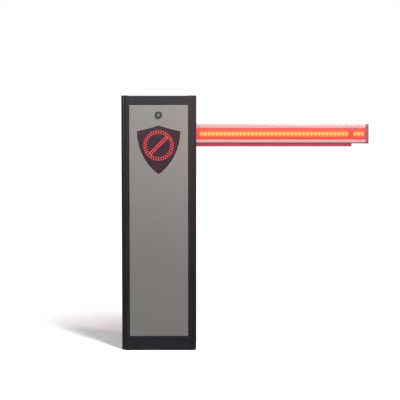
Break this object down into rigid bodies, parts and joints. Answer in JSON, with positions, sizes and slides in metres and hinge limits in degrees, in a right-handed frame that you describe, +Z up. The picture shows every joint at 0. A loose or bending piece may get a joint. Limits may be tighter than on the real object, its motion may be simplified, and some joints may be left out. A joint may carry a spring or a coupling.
{
  "type": "parking barrier gate",
  "caption": "Slim rectangular cabinet with a tilting front door, a shield-shaped light sign and a short rear-mounted illuminated boom that lifts upright.",
  "frame": {"origin": "centre of the cabinet footprint on the floor, the middle of the anchor bolt pattern", "axes": "+X along the closed boom, +Y from the door to the rear, +Z up"},
  "size_m": [1.03, 0.362, 1.027],
  "materials": {
    "frame_paint": "fine-textured dark graphite powder coat",
    "door_silver": "satin silver-grey lacquer on aluminium sheet",
    "stiffener": "mill finish",
    "window_tint": "smoked red-black acrylic",
    "housing_black": "moulded, fine grain",
    "circuit_black": "black solder mask",
    "circuit_green": "green solder mask",
    "strip_board": "white solder mask",
    "lock_metal": "polished plate",
    "zinc_steel": "zinc plated",
    "chassis_steel": "grey primer coat",
    "ground_steel": "turned and ground",
    "bearing_iron": "painted casting",
    "bearing_steel": "ground bearing steel",
    "arm_paint": "orange enamel",
    "gear_cast": "grey enamel on a casting",
    "motor_paint": "dark blue enamel",
    "spring_steel": "black oiled spring steel",
    "rubber_black": "matt",
    "box_grey": "light grey moulding",
    "psu_metal": "folded sheet",
    "button_green": "moulded",
    "button_red": "moulded",
    "toggle_black": "moulded",
    "sensor_brass": "nickelled brass barrel",
    "boom_aluminium": "clear anodised extrusion",
    "clamp_paint": "graphite powder coat",
    "lens_red": "translucent red diffuser, lit from behind",
    "cap_grey": "dark grey moulding"
  },
  "bodies": {
    "cabinet": {"balance_springs": "spring_steel", "base_plate": "frame_paint", "bearing_bolts": "zinc_steel", "bearing_housings": "bearing_iron", "bearing_inserts": "bearing_steel", "breaker": "box_grey", "chassis_plate": "chassis_steel", "chassis_webs": "chassis_steel", "controller_board": "circuit_green", "controller_box": "box_grey", "controller_lid": "box_grey", "corner_posts": "frame_paint", "door_seal": "rubber_black", "gearbox_housing": "gear_cast", "head_rails": "frame_paint", "hinge_pins": "zinc_steel", "limit_sensors": "sensor_brass", "lock_keeper": "zinc_steel", "motor_body": "motor_paint", "motor_cap": "motor_paint", "power_supply": "psu_metal", "rear_panel": "frame_paint", "rear_plate": "chassis_steel", "sensor_bracket": "chassis_steel", "side_panels": "frame_paint", "sill_rails": "frame_paint", "spring_anchor": "chassis_steel", "stop_brackets": "chassis_steel", "stop_buffers": "rubber_black", "tension_rods": "zinc_steel", "top_cover": "frame_paint"},
    "boom": {"main_shaft": "ground_steel", "rocker": "arm_paint", "rocker_pins": "zinc_steel", "limit_cam": "ground_steel", "boom_hub": "clamp_paint", "boom_clamps": "clamp_paint", "clamp_bolts": "zinc_steel", "boom_profile": "boom_aluminium", "boom_lenses": "lens_red", "led_strips": "strip_board", "boom_edge": "rubber_black", "boom_caps": "cap_grey"},
    "crank_arm": {"output_shaft": "ground_steel", "crank": "arm_paint"},
    "conrod": {"conrod_tube": "zinc_steel", "rod_ends": "zinc_steel"},
    "hanger": {"spring_hanger": "zinc_steel"},
    "door": {"door_panel": "door_silver", "door_stiffeners": "stiffener", "sign_window": "window_tint", "sign_housing": "housing_black", "sign_board": "circuit_black", "lock_housing": "lock_metal"},
    "lock_rotor": {"lock_plug": "lock_metal", "lock_cam": "zinc_steel"},
    "release": {"release_lever": "button_red"},
    "open_button": {"button_open": "button_green"},
    "close_button": {"button_close": "button_red"},
    "toggle": {"breaker_toggle": "toggle_black"}
  },
  "joints": [
    {"name": "boom_lift", "type": "hinge", "parent": "cabinet", "child": "boom", "pos_m": [0, 0, 0.869], "axis": [0, -1, 0], "range_deg": [0, 90], "deforming": ["balance_springs"]},
    {"name": "crank_turn", "type": "hinge", "parent": "cabinet", "child": "crank_arm", "pos_m": [0, 0, 0.535], "axis": [0, -1, 0], "range_deg": [0, 90]},
    {"name": "conrod_pivot", "type": "hinge", "parent": "crank_arm", "child": "conrod", "pos_m": [0.06718, -0.07, 0.46782], "axis": [0, -1, 0], "range_deg": [-90, 0]},
    {"name": "hanger_pivot", "type": "hinge", "parent": "boom", "child": "hanger", "pos_m": [-0.06718, -0.05, 0.93618], "axis": [0, -1, 0], "range_deg": [-90, 0]},
    {"name": "door_tilt", "type": "hinge", "parent": "cabinet", "child": "door", "pos_m": [0, -0.134, 0.065], "axis": [1, 0, 0], "range_deg": [0, 90]},
    {"name": "lock_turn", "type": "hinge", "parent": "door", "child": "lock_rotor", "pos_m": [0, -0.13, 0.949], "axis": [0, -1, 0], "range_deg": [0, 90]},
    {"name": "release_turn", "type": "hinge", "parent": "cabinet", "child": "release", "pos_m": [0.04, 0.054, 0.605], "axis": [0, 0, -1], "range_deg": [0, 35]},
    {"name": "open_press", "type": "slide", "parent": "cabinet", "child": "open_button", "axis": [0, 1, 0], "range_m": [0, 0.0025], "stiffness_N_per_m": 400, "springref_m": -0.002},
    {"name": "close_press", "type": "slide", "parent": "cabinet", "child": "close_button", "axis": [0, 1, 0], "range_m": [0, 0.0025], "stiffness_N_per_m": 400, "springref_m": -0.002},
    {"name": "toggle_flip", "type": "hinge", "parent": "cabinet", "child": "toggle", "pos_m": [0.028, -0.062, 0.126], "axis": [1, 0, 0], "range_deg": [0, 50]}
  ],
  "couplings": [
    {"joint": "crank_turn", "follows": "boom_lift", "ratio": 1},
    {"joint": "conrod_pivot", "follows": "boom_lift", "ratio": -1},
    {"joint": "hanger_pivot", "follows": "boom_lift", "ratio": -1}
  ]
}
